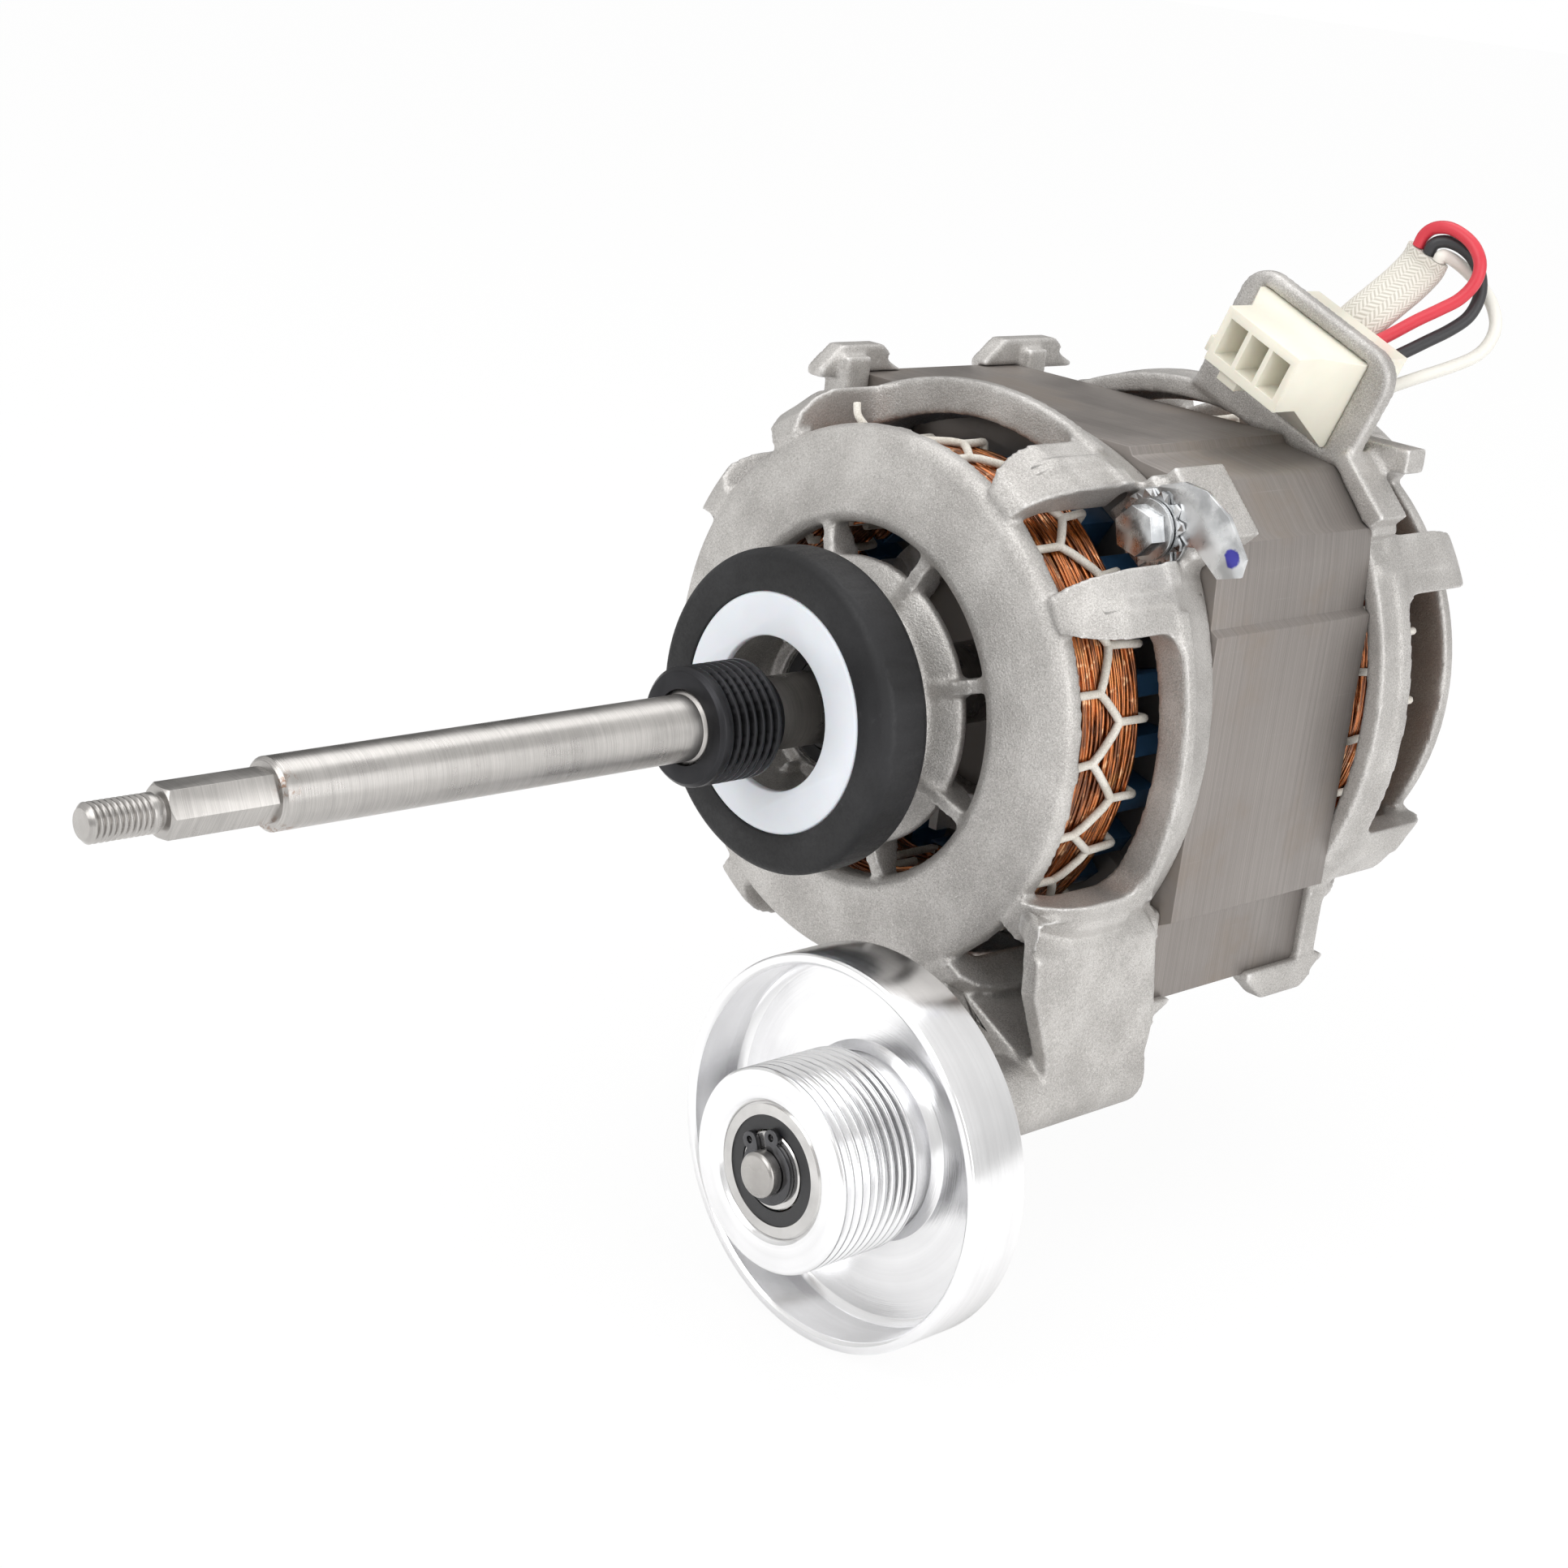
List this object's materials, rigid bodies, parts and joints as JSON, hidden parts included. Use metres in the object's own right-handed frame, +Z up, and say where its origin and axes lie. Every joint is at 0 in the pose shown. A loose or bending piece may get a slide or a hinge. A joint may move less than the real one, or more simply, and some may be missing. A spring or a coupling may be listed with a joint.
{
  "type": "tumble dryer motor",
  "caption": "Open-frame dryer motor with a long fan shaft, ribbed drive pulley, rubber mounting rings, a belt step pulley on its own axle and a lead connector.",
  "frame": {"origin": "centre of the front rubber mounting ring, on the shaft's axis", "axes": "+Y along the shaft towards the rear shield, +Z up towards the connector, threaded shaft end at -Y"},
  "size_m": [0.1739, 0.3697, 0.242],
  "materials": {
    "cast_aluminium": "die-cast, sandy grain, brighter edges",
    "lamination_steel": "stacked sheet edges with faint stains",
    "slot_paper": "blue insulating film",
    "enamelled_copper": "orange-brown wire enamel",
    "lacing_cord": "off-white varnished cord",
    "zinc_steel": "bright zinc plating",
    "ivory_nylon": "ivory moulded nylon",
    "white_nylon": "bluish translucent white nylon",
    "red_insulation": "red silicone insulation",
    "black_insulation": "black insulation",
    "white_insulation": "white insulation",
    "braided_sleeve": "beige herringbone braid",
    "mount_rubber": "matt near-black rubber",
    "seal_rubber": "black bearing seal",
    "bearing_steel": "polished bearing steel",
    "ground_steel": "ground steel with faint rust",
    "spring_steel": "dark phosphated spring steel",
    "black_anodised": "black anodised aluminium",
    "turned_aluminium": "bright turned aluminium"
  },
  "bodies": {
    "motor_frame": {"front_end_shield": "cast_aluminium", "rear_end_shield": "cast_aluminium", "stator_core": "lamination_steel", "slot_liners": "slot_paper", "coil_sides": "enamelled_copper", "front_winding": "enamelled_copper", "front_strands": "enamelled_copper", "front_lacing": "lacing_cord", "rear_winding": "enamelled_copper", "rear_strands": "enamelled_copper", "rear_lacing": "lacing_cord", "through_bolts": "zinc_steel", "star_washers": "zinc_steel", "bolt_nuts": "zinc_steel", "earth_tab": "zinc_steel", "connector_housing": "ivory_nylon", "connector_blades": "zinc_steel", "wire_red": "red_insulation", "wire_black": "black_insulation", "wire_white": "white_insulation", "wire_sleeve": "braided_sleeve", "front_mount_rubber": "mount_rubber", "front_mount_liner": "white_nylon", "rear_mount_rubber": "mount_rubber", "rear_mount_liner": "white_nylon", "front_bearing_outer": "bearing_steel", "front_bearing_seals": "seal_rubber", "rear_bearing_outer": "bearing_steel", "rear_bearing_seals": "seal_rubber", "spring_washer": "spring_steel", "step_axle": "ground_steel", "axle_spacer": "ground_steel", "axle_circlip": "spring_steel", "step_inner_races": "bearing_steel"},
    "rotor": {"front_bearing_inner": "bearing_steel", "front_bearing_balls": "bearing_steel", "front_bearing_cage": "ivory_nylon", "rear_bearing_inner": "bearing_steel", "rear_bearing_balls": "bearing_steel", "rear_bearing_cage": "ivory_nylon", "shaft_circlip": "spring_steel", "rotor_shaft": "ground_steel", "rotor_core": "lamination_steel", "rotor_cage": "cast_aluminium", "drive_pulley": "black_anodised"},
    "belt_pulley": {"step_outer_races": "bearing_steel", "step_bearing_balls": "bearing_steel", "step_cages": "ivory_nylon", "step_seals": "seal_rubber", "step_pulley": "turned_aluminium"}
  },
  "joints": [
    {"name": "rotor_spin", "type": "hinge", "parent": "motor_frame", "child": "rotor", "pos_m": [0, 0, 0], "axis": [0, 1, 0], "continuous": true},
    {"name": "belt_pulley_spin", "type": "hinge", "parent": "motor_frame", "child": "belt_pulley", "pos_m": [0.0565, -0.031, -0.08], "axis": [0, 1, 0], "continuous": true}
  ]
}
